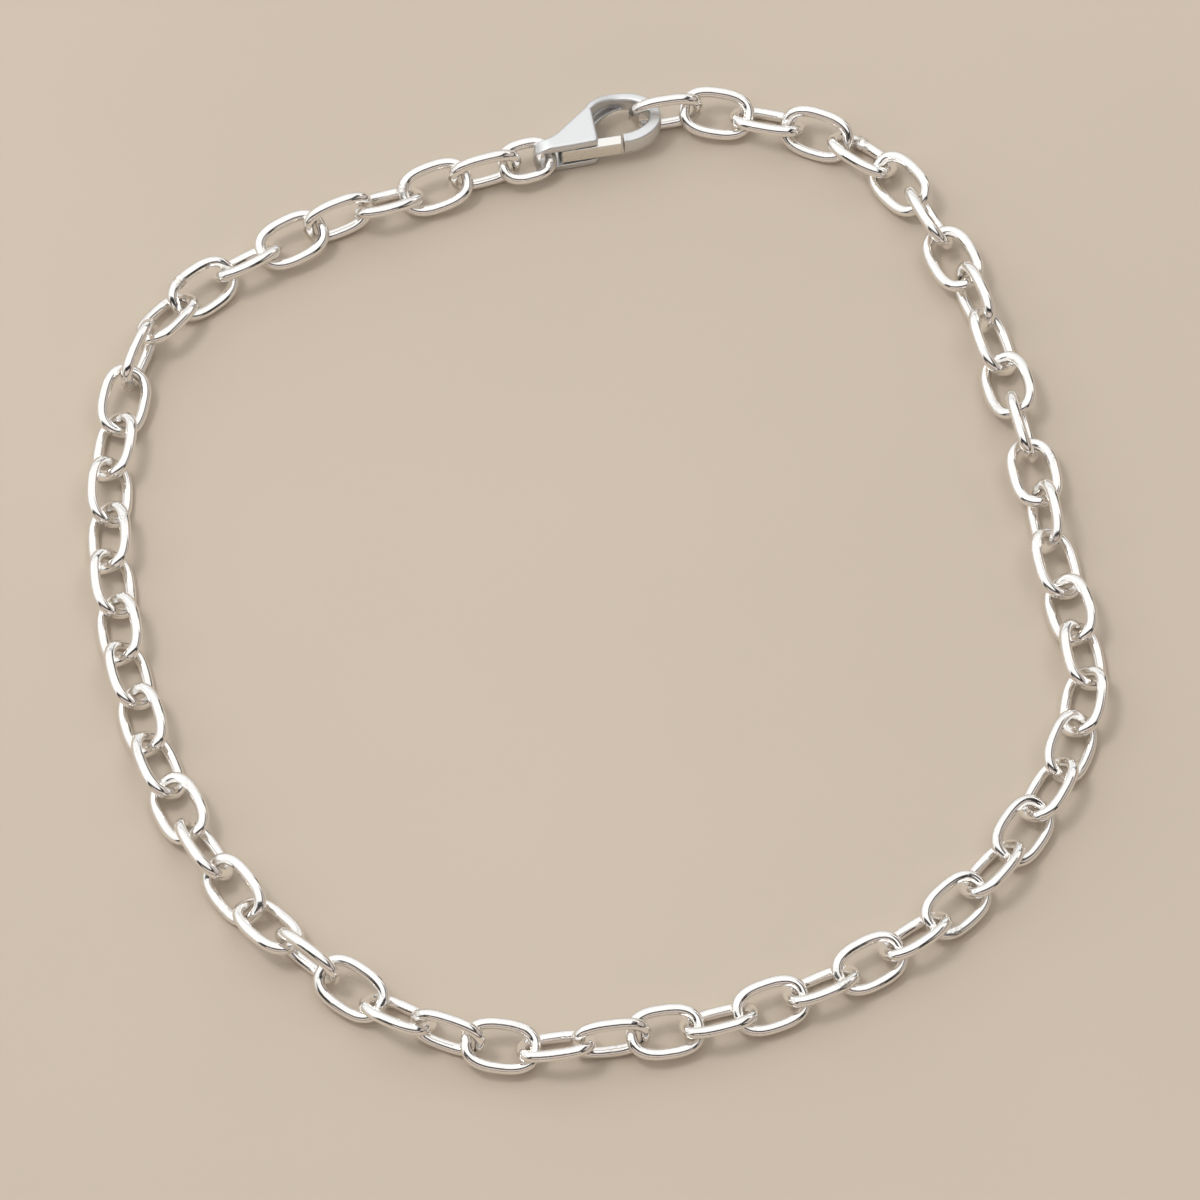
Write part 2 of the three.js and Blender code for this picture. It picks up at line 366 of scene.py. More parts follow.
@dataclass(frozen=True)
class Paper:
    """The plain pale floor, with a faint unevenness."""

    name: str = "pale paper"
    colour: RGB = (0.64, 0.55, 0.45)
    roughness: float = 0.75
    specular: float = 0.2
    mottle: float = 0.05
    mottle_grain: float = 60.0
    mottle_level: Level = (0.3, 0.7)

    def build(self) -> bpy.types.Material:
        """Builds the material.

        Returns:
            The material.
        """
        material, tree = shader(self.name)
        where = tree.node("ShaderNodeTexCoord", {}, {}, "Object")
        cloud = tree.noise(where, self.mottle_grain, detail=3.0, seed=2.0).ramp(*self.mottle_level)
        darker = opaque(tuple((1.0 - self.mottle) * c for c in self.colour))
        colour = tree.mix(cloud, opaque(self.colour), darker)
        inputs = {"Base Color": colour, "Roughness": self.roughness, "Specular IOR Level": self.specular}
        surface = tree.node("ShaderNodeBsdfPrincipled", {}, inputs)
        tree.node("ShaderNodeOutputMaterial", {}, {"Surface": surface})
        return material


# Lay of the chain


@dataclass(frozen=True)
class Oval:
    """Outer size of an oval link."""

    length: float
    width: float


@dataclass(frozen=True)
class Seam:
    """Solder seam: its place round the link, as a share of the way from the far end by the inner side."""

    place: float
    height: float


@dataclass(frozen=True)
class Row:
    """A stretch of the chain: its number of links, and their leans, which repeat.

    A lean is in degrees about the chain, plus where the link's inner side is up.
    """

    part: str
    links: int
    tilts: tuple[float, ...]


@dataclass(frozen=True)
class Link:
    """A link where it lies."""

    number: int
    size: Oval
    middle: Vector
    turn: Euler


def smooth_loop(rows: np.ndarray, tension: float, places: np.ndarray) -> np.ndarray:
    """Points of a smooth closed curve through rows of points.

    Args:
        rows: The points that it goes through.
        tension: How strongly it heads from each point's neighbour to the other.
        places: Shares of the way round, by rows.

    Returns:
        One point for each place.
    """
    steps = places * len(rows)
    first = np.floor(steps).astype(int)
    rest = (steps - first)[:, None]
    before, start, end, after = (rows[(first + step) % len(rows)] for step in (-1, 0, 1, 2))
    leave, arrive = tension * (end - before), tension * (after - start)
    square = -3.0 * start + 3.0 * end - 2.0 * leave - arrive
    cube = 2.0 * start - 2.0 * end + leave + arrive
    return start + leave * rest + square * rest**2 + cube * rest**3


@dataclass(frozen=True)
class Lay:
    """Where the chain lies, and so where every link and the clasp's two joints are.

    Sizes are in millimetres. The route is the plan of the chain's middle line. Play is the slack
    between two links. Sag is how far the joint of two links drops from the higher one's middle
    towards the lower one's, as a share. Section fit makes the room that the CAD wire's corners need.
    """

    wire: float = 0.68
    play: float = 0.14
    link: Oval = Oval(4.6, 3.15)
    end_ring: Oval = Oval(3.65, 2.75)
    oval_power: float = 2.6
    section_fit: float = 1.045
    sag: float = 0.18
    tension: float = 0.5
    steps: int = 4000
    tail_height: float = 1.33
    hook_height: float = 1.45
    route: tuple[tuple[float, float], ...] = (
        (-3.2, 29.2),
        (-11.7, 26.3),
        (-20.2, 22.2),
        (-26.6, 16.9),
        (-29.0, 7.9),
        (-28.5, -2.7),
        (-25.6, -13.5),
        (-21.1, -21.6),
        (-14.9, -27.6),
        (-6.9, -31.7),
        (2.2, -31.3),
        (11.4, -28.7),
        (19.6, -23.9),
        (25.4, -17.1),
        (29.0, -8.3),
        (27.3, 0.8),
        (25.7, 9.5),
        (22.8, 19.4),
        (17.5, 28.7),
        (8.9, 32.3),
        (2.8, 32.0),
    )
    rows: tuple[Row, ...] = (
        Row("clasp_to_corner", 11, (-25, -90, -27, 38, -78, -15, 48, -36, 31, 94, -24)),
        Row("left_side", 8, (38, -38)),
        Row("lower_left", 6, (25, -50, 40, -22, -87, 28)),
        Row("front", 6, (-40, 80, 20)),
        Row("front_right", 8, (-42, 25)),
        Row("right_corner", 6, (-38, 35, -35, 38, -35, 28)),
        Row("right_side", 8, (-64, 3, 72, -22, 42, -74, -8, 62)),
        Row("top_right", 6, (-34, 35, -45, 36, -26, -90)),
    )

    def rest_height(self, size: Oval, lean: float, pitch: float = 0.0) -> float:
        """Height at which a lying link just touches the surface.

        Args:
            size: The link's outer size.
            lean: Its turn about the chain, in radians.
            pitch: Its climb along the chain, in radians.

        Returns:
            The height of its middle above the surface.
        """
        power = self.oval_power / (self.oval_power - 1.0)
        across = ((size.width - self.wire) / 2 * abs(math.cos(pitch) * math.sin(lean))) ** power
        along = ((size.length - self.wire) / 2 * abs(math.sin(pitch))) ** power
        return (across + along) ** (1.0 / power) + self.wire / 2 * self.section_fit

    def lay(self, clasp_reach: float) -> tuple[list[Link], Vector, Vector]:
        """Lays every link between its two joints along the route.

        Args:
            clasp_reach: Distance between the clasp's two joints.

        Returns:
            The links, and the joints at the clasp's tail and hook.
        """
        tilts = [row.tilts[i % len(row.tilts)] for row in self.rows for i in range(row.links)]
        leans = [math.radians(tilt) for tilt in tilts]
        sizes = [self.end_ring] + [self.link] * (len(leans) - 1)
        pitches = [size.length - 2 * self.wire - self.play for size in sizes]
        total = sum(pitches) + clasp_reach

        places = np.linspace(0.0, 1.0, self.steps + 1)
        points = smooth_loop(np.array(self.route), self.tension, places)
        lengths = np.concatenate([[0.0], np.cumsum(np.linalg.norm(np.diff(points, axis=0), axis=1))])
        runs = np.concatenate([[0.0], np.cumsum(pitches)]) / total * lengths[-1]
        flat = smooth_loop(np.array(self.route), self.tension, np.interp(runs, lengths, places))
        flat *= total / lengths[-1]

        heights = [self.rest_height(size, lean) for size, lean in zip(sizes, leans)]
        before, after = [heights[0], *heights], [*heights, heights[-1]]
        lifts = [max(a, b) - self.sag * abs(a - b) for a, b in zip(before, after)]
        lifts[0], lifts[-1] = self.tail_height, self.hook_height
        joints = [Vector((x, y, lift)) for (x, y), lift in zip(flat, lifts)]

        links = []
        for i, (size, lean) in enumerate(zip(sizes, leans)):
            way = joints[i + 1] - joints[i]
            pitch = math.atan2(way.z, way.xy.length)
            middle = (joints[i] + joints[i + 1]) / 2
            middle.z = max(middle.z, self.rest_height(size, lean, pitch))
            turn = Euler((lean, -pitch, math.atan2(way.y, way.x)), "XYZ")
            links.append(Link(i + 1, size, middle, turn))
        return links, joints[0], joints[-1]


# Chain


def links_of(node: str) -> range:
    """Finds which links a node of the frame holds.

    Args:
        node: The node's name, such as link_07 or links_21_25.

    Returns:
        The links' numbers, none for a node of the clasp.
    """
    if node == "end_ring":
        return range(1, 2)
    words = node.split("_")
    if words[0] not in ("link", "links"):
        return range(0)
    return range(int(words[1]), int(words[-1]) + 1)


@dataclass
class Wirework:
    """Geometry Nodes tree that forms round wire into oval links and sets one at each given point.

    Each point carries the link's turn and its seam's place and height. The wire has shallow dents,
    and a seam is a low uneven swelling. Sizes are in millimetres. The oval's outline is drawn with
    fineness times the steps, and then stepped evenly. A seam as high as seam_full is marked in full.
    """

    steps: int = 104
    sides: int = 26
    fineness: int = 4
    dent_height: float = 0.012
    dent_grain: float = 0.9
    seam_width: float = 0.42
    seam_grain: float = 0.22
    seam_lumps: Level = (0.3, 0.62)
    seam_gain: float = 1.35
    seam_full: float = 0.03
    # Where a link's inner side at its ends faces the next link: a mask for painted shade between links
    contact_from: float = 0.62
    contact_facing: Level = (0.2, 0.9)
    inputs: dict[str, str] = field(default_factory=dict)
    tree: bpy.types.NodeTree = field(init=False)

    def __post_init__(self) -> None:
        """Builds the tree once."""
        self.tree = bpy.data.node_groups.new("Oval links", "GeometryNodeTree")
        sockets = {
            "Points": "NodeSocketGeometry",
            "Length": "NodeSocketFloat",
            "Width": "NodeSocketFloat",
            "Wire": "NodeSocketFloat",
            "Oval Power": "NodeSocketFloat",
            "Steps": "NodeSocketInt",
            "Sides": "NodeSocketInt",
            "Dent Height": "NodeSocketFloat",
            "Seed": "NodeSocketFloat",
            "Silver": "NodeSocketMaterial",
        }
        for name, kind in sockets.items():
            socket = self.tree.interface.new_socket(name, in_out="INPUT", socket_type=kind)
            self.inputs[name] = socket.identifier
        self.tree.interface.new_socket("Links", in_out="OUTPUT", socket_type="NodeSocketGeometry")
        self._build(Tree(self.tree))

    def _build(self, tree: Tree) -> None:
        """Lays out the nodes, from the group's inputs to its output.

        Args:
            tree: The group, which is empty so far.
        """
        entry = tree.node("NodeGroupInput").socket.node
        given = {name: Value(tree, entry.outputs[name]) for name in self.inputs}
        half_length = (given["Length"] - given["Wire"]) * 0.5
        half_width = (given["Width"] - given["Wire"]) * 0.5
        link, perimeter = self._link(tree, given, half_length, half_width)
        euler = self._read(tree, "turn", "FLOAT_VECTOR")
        turn = tree.node("FunctionNodeEulerToRotation", {}, {0: euler})
        inputs = {"Points": given["Points"], "Instance": link, "Rotation": turn}
        laid = tree.node("GeometryNodeInstanceOnPoints", {}, inputs)
        real = tree.node("GeometryNodeRealizeInstances", {}, {"Geometry": laid})
        worn = self._wear(tree, real, given, perimeter)
        smooth = tree.node("GeometryNodeSetShadeSmooth", {}, {"Geometry": worn, "Shade Smooth": True})
        inputs = {"Geometry": smooth, "Material": given["Silver"]}
        dressed = tree.node("GeometryNodeSetMaterial", {}, inputs)
        tree.node("NodeGroupOutput", {}, {"Links": dressed})

    def _link(
        self, tree: Tree, given: dict[str, Value], half_length: Value, half_width: Value
    ) -> tuple[Value, Value]:
        """Forms one link about its own middle.

        Args:
            tree: The group.
            given: Its inputs, by name.
            half_length: Half the length of the wire's centre line.
            half_width: Half its width.

        Returns:
            The link, and the length of its wire's centre line once round.
        """
        circle = tree.node(
            "GeometryNodeCurvePrimitiveCircle",
            {"mode": "RADIUS"},
            {"Resolution": given["Steps"] * self.fineness, "Radius": 1.0},
        )
        x, y, _ = tree.node("GeometryNodeInputPosition").parts()
        power = 2.0 / given["Oval Power"]
        along, across = x.sign() * abs(x) ** power, y.sign() * abs(y) ** power
        oval = tree.vector(along * half_length, across * half_width, 0.0)
        line = tree.node("GeometryNodeSetPosition", {}, {"Geometry": circle, "Position": oval})
        inputs = {"Curve": line, "Count": given["Steps"]}
        even = tree.node("GeometryNodeResampleCurve", {"mode": "COUNT"}, inputs)
        share = tree.node("GeometryNodeSplineParameter", {}, {}, "Factor")
        marked = self._store(tree, even, "along", share)
        section = tree.node(
            "GeometryNodeCurvePrimitiveCircle",
            {"mode": "RADIUS"},
            {"Resolution": given["Sides"], "Radius": given["Wire"] * 0.5},
        )
        wire = tree.node("GeometryNodeCurveToMesh", {}, {"Curve": marked, "Profile Curve": section})
        perimeter = tree.node("GeometryNodeCurveLength", {}, {"Curve": even})

        # Painted shade between links: marks the inner side of the link's ends, which the material darkens
        x, _, _ = tree.node("GeometryNodeInputPosition").parts()
        facing, _, _ = tree.node("GeometryNodeInputNormal").parts()
        inward = (-(facing * x.sign())).ramp(*self.contact_facing)
        contact_shade = inward * (abs(x) / half_length).ramp(self.contact_from, 1.0)
        return self._store(tree, wire, "contact_shade", contact_shade), perimeter

    def _wear(self, tree: Tree, links: Value, given: dict[str, Value], perimeter: Value) -> Value:
        """Adds the seams and the dents to the realized links.

        Args:
            tree: The group.
            links: The links.
            given: The group's inputs, by name.
            perimeter: The length of a link's wire once round.

        Returns:
            The links with their wear, and a seam attribute that is 1 on a seam.
        """
        off = self._read(tree, "along") - self._read(tree, "seam_place")
        distance = abs(off - off.rounded()) * perimeter / (self.seam_width * MM)
        swell = (-(distance * distance)).exp()
        where = tree.node("GeometryNodeInputPosition")
        lumps = tree.noise(where, self.seam_grain, detail=2.0, seed=4.0)
        waves = tree.noise(where, self.dent_grain, detail=1.0, seed=given["Seed"])
        rise = swell * self._read(tree, "seam_height") * lumps.ramp(*self.seam_lumps) * self.seam_gain
        rise = rise + (waves - 0.5) * given["Dent Height"]
        normal = tree.node("GeometryNodeInputNormal")
        inputs = {"Geometry": links, "Offset": normal.times(rise)}
        moved = tree.node("GeometryNodeSetPosition", {}, inputs)
        mark = swell * (self._read(tree, "seam_height") / (self.seam_full * MM)).ramp(0.0, 1.0)
        return self._store(tree, moved, "seam", mark)

    @staticmethod
    def _store(tree: Tree, geometry: Value, name: str, value: Value) -> Value:
        """The geometry with a number stored on its points."""
        settings = {"data_type": "FLOAT", "domain": "POINT"}
        inputs = {"Geometry": geometry, "Name": name, "Value": value}
        return tree.node("GeometryNodeStoreNamedAttribute", settings, inputs)

    @staticmethod
    def _read(tree: Tree, name: str, kind: str = "FLOAT") -> Value:
        """A named attribute."""
        return tree.node("GeometryNodeInputNamedAttribute", {"data_type": kind}, {"Name": name})

    def form(
        self,
        name: str,
        links: Sequence[Link],
        seams: Sequence[Seam],
        lay: Lay,
        silver: bpy.types.Material,
    ) -> bpy.types.Object:
        """Forms one stretch of links as a plain mesh.

        Args:
            name: The new piece's name.
            links: The links, all of one size, in the frame's place.
            seams: A seam for each link.
            lay: The chain's wire and oval.
            silver: The links' material.

        Returns:
            The piece, with a seam attribute and a mask of painted shade between links, for its material.
        """
        seeds = bpy.data.meshes.new(f"{name} points")
        seeds.from_pydata([link.middle * MM for link in links], [], [])
        turns = seeds.attributes.new("turn", "FLOAT_VECTOR", "POINT")
        turns.data.foreach_set("vector", [angle for link in links for angle in link.turn])
        places = seeds.attributes.new("seam_place", "FLOAT", "POINT")
        places.data.foreach_set("value", [seam.place for seam in seams])
        heights = seeds.attributes.new("seam_height", "FLOAT", "POINT")
        heights.data.foreach_set("value", [seam.height * MM for seam in seams])
        holder = bpy.data.objects.new(f"{name} points", seeds)
        bpy.context.scene.collection.objects.link(holder)

        size = links[0].size
        sizes = {
            "Length": size.length * MM,
            "Width": size.width * MM,
            "Wire": lay.wire * MM,
            "Oval Power": lay.oval_power,
            "Steps": self.steps,
            "Sides": self.sides,
            "Dent Height": self.dent_height * MM,
            "Seed": float(links[0].number),
            "Silver": silver,
        }
        modifier = holder.modifiers.new("Oval links", "NODES")
        modifier.node_group = self.tree
        for key, size_value in sizes.items():
            modifier[self.inputs[key]] = size_value
        mesh = plain_mesh(holder, name)
        bpy.data.objects.remove(holder)
        for spent in ("along", "turn", "seam_place", "seam_height"):
            if spent in mesh.attributes:
                mesh.attributes.remove(mesh.attributes[spent])
        piece = bpy.data.objects.new(name, mesh)
        bpy.context.scene.collection.objects.link(piece)
        return piece


@dataclass
class Chain:
    """The end ring and the 58 links, one piece for each stretch of the chain.

    The marked seams are the ones that can be seen. The others are low, within seam_height.
    """

    lay: Lay
    links: list[Link]
    seed: int = 7
    seam_height: tuple[float, float] = (0.004, 0.016)
    marked: Mapping[int, Seam] = field(
        default_factory=lambda: {
            1: Seam(0.44, 0.03),
            3: Seam(0.95, 0.035),
            8: Seam(0.85, 0.04),
            10: Seam(0.98, 0.035),
            32: Seam(0.06, 0.035),
            55: Seam(0.82, 0.1),
        }
    )

    def seams(self) -> dict[int, Seam]:
        """Gives every link its seam.

        Returns:
            The marked seams, and low ones at chance places on the other links, by link number.
        """
        chance = random.Random(self.seed)
        drawn = {}
        for link in self.links:
            drawn[link.number] = Seam(chance.random(), chance.uniform(*self.seam_height))
        return {**drawn, **self.marked}

    def build(self, wirework: Wirework, silver: bpy.types.Material) -> None:
        """Forms every stretch and puts it in the place of its nodes.

        Args:
            wirework: The tree that forms the links.
            silver: The links' material.
        """
        seams = self.seams()
        stretches = {"chain_end_ring": self.links[:1]}
        first = 0
        for row in self.lay.rows:
            stretches[f"chain_{row.part}"] = self.links[max(first, 1) : first + row.links]
            first += row.links
        for name, links in stretches.items():
            numbers = [link.number for link in links]
            piece = wirework.form(name, links, [seams[number] for number in numbers], self.lay, silver)
            nodes = [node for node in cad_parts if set(numbers) & set(links_of(node))]
            settle(piece, Body.CHAIN, nodes)


# Solids


def plain_mesh(source: bpy.types.Object, name: str) -> bpy.types.Mesh:
    """Makes a plain mesh of an object with its modifiers applied.

    Args:
        source: The object, which stays as it is.
        name: The mesh's name.

    Returns:
        The mesh.
    """
    bpy.context.view_layer.update()
    evaluated = source.evaluated_get(bpy.context.evaluated_depsgraph_get())
    mesh = bpy.data.meshes.new_from_object(evaluated)
    mesh.name = name
    return mesh


def bake_modifiers(solid: bpy.types.Object) -> None:
    """Applies the object's modifiers to its mesh.

    Args:
        solid: The object.
    """
    mesh = plain_mesh(solid, solid.name)
    solid.modifiers.clear()
    solid.data = mesh


def arc(
    centre: tuple[float, float], radii: tuple[float, float], start: float, end: float, steps: int
) -> list[Vector]:
    """Draws an elliptic arc.

    Args:
        centre: Its middle.
        radii: Its half sizes along x and y.
        start: Its first angle, in degrees.
        end: Its last angle, in degrees.
        steps: How many steps it has.

    Returns:
        Its points.
    """
    angles = np.radians(np.linspace(start, end, steps + 1))
    (x, y), (wide, deep) = centre, radii
    return [Vector((x + wide * math.cos(angle), y + deep * math.sin(angle))) for angle in angles]


def bow(start: Vector, control: tuple[float, float], end: Vector, steps: int) -> list[Vector]:
    """Draws a quadratic curve.

    Args:
        start: Its first point.
        control: The point that it bends towards.
        end: Its last point.
        steps: How many steps it has.

    Returns:
        Its points, without the first.
    """
    middle = Vector(control)
    shares = [step / steps for step in range(1, steps + 1)]
    return [(1 - s) ** 2 * start + 2 * s * (1 - s) * middle + s**2 * end for s in shares]


def superellipse(angle: float, power: float) -> tuple[float, float, float]:
    """The cosine and sine of an angle in radians, and how far a unit superellipse reaches there."""
    across, up = math.cos(angle), math.sin(angle)
    return across, up, (abs(across) ** power + abs(up) ** power) ** (-1 / power)


def smooth_step(value: float, low: float, high: float) -> float:
    """Smooth step from 0 at low to 1 at high."""
    share = min(max((value - low) / (high - low), 0.0), 1.0)
    return share * share * (3 - 2 * share)


def solid_of(name: str, work: bmesh.types.BMesh) -> bpy.types.Object:
    """Turns a finished bmesh into an object with its faces pointing out.

    Args:
        name: The object's name.
        work: The bmesh, which is freed.

    Returns:
        The object.
    """
    bmesh.ops.recalc_face_normals(work, faces=work.faces)
    mesh = bpy.data.meshes.new(name)
    work.to_mesh(mesh)
    work.free()
    solid = bpy.data.objects.new(name, mesh)
    bpy.context.scene.collection.objects.link(solid)
    return solid


def plate(
    name: str, outline: Iterable[Vector], low: float, high: float, edge: float = 0.0, rounds: int = 3
) -> bpy.types.Object:
    """Raises a flat outline to a plate.

    Args:
        name: The object's name.
        outline: Its points, seen from above.
        low: Height of its underside.
        high: Height of its top.
        edge: Radius of its rims, or nought for sharp ones.
        rounds: Steps of a rounded rim.

    Returns:
        The plate.
    """
    work = bmesh.new()
    base = work.faces.new([work.verts.new((point.x, point.y, low)) for point in outline])
    raised = bmesh.ops.extrude_face_region(work, geom=[base])["geom"]
    top = [item for item in raised if isinstance(item, bmesh.types.BMVert)]
    bmesh.ops.translate(work, verts=top, vec=(0.0, 0.0, high - low))
    if edge > 0:
        rims = [e for e in work.edges if abs(e.verts[0].co.z - e.verts[1].co.z) < 1e-6]
        bmesh.ops.bevel(work, geom=rims, offset=edge, segments=rounds, profile=0.5, affect="EDGES")
    return solid_of(name, work)


def loft(name: str, sections: Sequence[Sequence[Vector]]) -> bpy.types.Object:
    """Skins sections to a closed solid.

    Args:
        name: The object's name.
        sections: The sections in order, with equal point counts.

    Returns:
        The solid.
    """
    work = bmesh.new()
    rings = [[work.verts.new(point) for point in section] for section in sections]
    for ring, following in zip(rings, rings[1:]):
        for i, vert in enumerate(ring):
            after = (i + 1) % len(ring)
            work.faces.new((vert, ring[after], following[after], following[i]))
    work.faces.new(rings[0])
    work.faces.new(rings[-1])
    return solid_of(name, work)


def combine(base: bpy.types.Object, tool: bpy.types.Object, cut: Cut) -> None:
    """Joins a tool to a solid, or takes it away.

    Args:
        base: The solid.
        tool: The tool, which is removed.
        cut: Whether the tool is joined or taken away.
    """
    modifier = base.modifiers.new(cut.name, "BOOLEAN")
    modifier.operation = cut.value
    modifier.solver = "EXACT"
    modifier.object = tool
    bake_modifiers(base)
    bpy.data.objects.remove(tool)


def cast(solid: bpy.types.Object, voxel: float, melts: int) -> bpy.types.Object:
    """Gives a solid one even skin, whose edges are a little melted as on a casting.

    Args:
        solid: The solid, in millimetres.
        voxel: The skin's mesh size.
        melts: Rounds of smoothing.

    Returns:
        The same object.
    """
    modifier = solid.modifiers.new("Skin", "REMESH")
    modifier.mode = "VOXEL"
    modifier.voxel_size = voxel
    bake_modifiers(solid)
    work = bmesh.new()
    work.from_mesh(solid.data)
    for _ in range(melts):
        bmesh.ops.smooth_vert(
            work, verts=work.verts, factor=0.5, use_axis_x=True, use_axis_y=True, use_axis_z=True
        )
    work.to_mesh(solid.data)
    work.free()
    return solid


def mark_rims(mesh: bpy.types.Mesh, sharpness: float) -> None:
    """Stores how strongly the surface turns outwards at each point, 0 on flats and 1 on rims.

    Args:
        mesh: The mesh.
        sharpness: The bend that counts as a full rim.
    """
    count = len(mesh.vertices)
    points = np.zeros(count * 3)
    mesh.vertices.foreach_get("co", points)
    points = points.reshape(-1, 3)
    normals = np.array([item.vector[:] for item in mesh.vertex_normals])
    ends = np.zeros(len(mesh.edges) * 2, int)
    mesh.edges.foreach_get("vertices", ends)
    first, second = ends.reshape(-1, 2).T
    way = points[second] - points[first]
    way /= np.maximum(np.linalg.norm(way, axis=1), 1e-9)[:, None]
    bend = np.zeros(count)
    number = np.zeros(count)
    np.add.at(bend, first, -(way * normals[first]).sum(axis=1))
    np.add.at(bend, second, (way * normals[second]).sum(axis=1))
    np.add.at(number, first, 1)
    np.add.at(number, second, 1)
    rims = np.clip(bend / np.maximum(number, 1) / sharpness, 0.0, 1.0)
    mesh.attributes.new("rim", "FLOAT", "POINT").data.foreach_set("value", rims)


def settle(piece: bpy.types.Object, body: Body, nodes: Sequence[str]) -> None:
    """Puts a finished piece in the place of the frame's nodes.

    Args:
        piece: The piece.
        body: The body that it moves with.
        nodes: The nodes that it replaces.
    """
    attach(piece, body.value)
    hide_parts(*nodes)
    faces = len(piece.data.polygons)
    log.info("%s: %d faces, for %d nodes, on %s", piece.name, faces, len(nodes), body.value)


# Clasp


@dataclass(frozen=True)
class Cheeks:
    """Both cheeks and the tail: their outline seen from above, and how the tail's end is rounded down."""

    thickness: float = 2.6
    right: float = 3.98
    edge: float = 0.2
    wall: float = 0.42
    bow: float = 0.05
    bend: tuple[float, float] = (1.2, 0.75)
    rise: tuple[float, float] = (2.0, 1.42)
    shoulder: float = 3.6
    inset: float = 0.03
    corner: float = 0.24
    nose_length: float = 1.25
    nose_power: float = 2.3


@dataclass(frozen=True)
class Tail:
    """The post that the end ring hangs on, and the opening behind it."""

    radius: float = 0.375
    wall: float = 0.46
    hole_end: float = 1.6
    play: float = 0.2


@dataclass(frozen=True)
class Hook:
    """The hook, between an outer and an inner ellipse, thinner away from the cheeks.

    Its section is a superellipse, which turns squarer between two shares of the way to the tip.
    """

    x: float = 5.7
    y: float = 1.8
    half_length: float = 2.4
    half_width: float = 1.8
    eye_x: float = 5.6
    eye_y: float = 1.85
    eye_half_length: float = 1.75
    eye_half_width: float = 1.15
    root_degrees: float = 150.0
    tip_x: float = 5.53
    taper_from: float = 3.7
    taper_to: float = 5.9
    scale: float = 0.48
    lift: float = 0.15
    stations: int = 72
    section_points: int = 40
    round_power: float = 4.5
    tip_power: float = 7.0
    square_from: float = 0.6
    square_to: float = 0.8


@dataclass(frozen=True)
class SawCut:
    """The slot between the cheeks, and the groove where it runs into the hook's inner wall.

    Angles are in degrees round the eye. The groove's height is a share of the hook's, and at its
    bottom its upper half is only groove_top as high. From groove_fade of its way it runs out.
    """

    low: float = 0.58
    high: float = 2.08
    over: float = 1.0
    groove_depth: float = 0.48
    groove_share: float = 0.62
    groove_top: float = 0.6
    groove_fade: float = 0.6
    groove_from: float = 168.0
    groove_to: float = 68.0
    groove_overlap: float = 0.5


@dataclass(frozen=True)
class Pin:
    """The hinge pin, which is hidden in the cheeks."""

    x: float = 2.7
    y: float = 0.68
    radius: float = 0.28
    play: float = 0.05


@dataclass(frozen=True)
class Lever:
    """The sprung lever, whose tip is an arc about the pin."""

    rear: float = 1.75
    rise: float = 0.45
    front: float = 0.03
    arm: float = 0.65
    reach: float = 2.74
    low: float = 0.75
    high: float = 1.9
    edge: float = 0.07
    boss: float = 0.5
    boss_end: float = 153.0
    tip_steps: int = 4


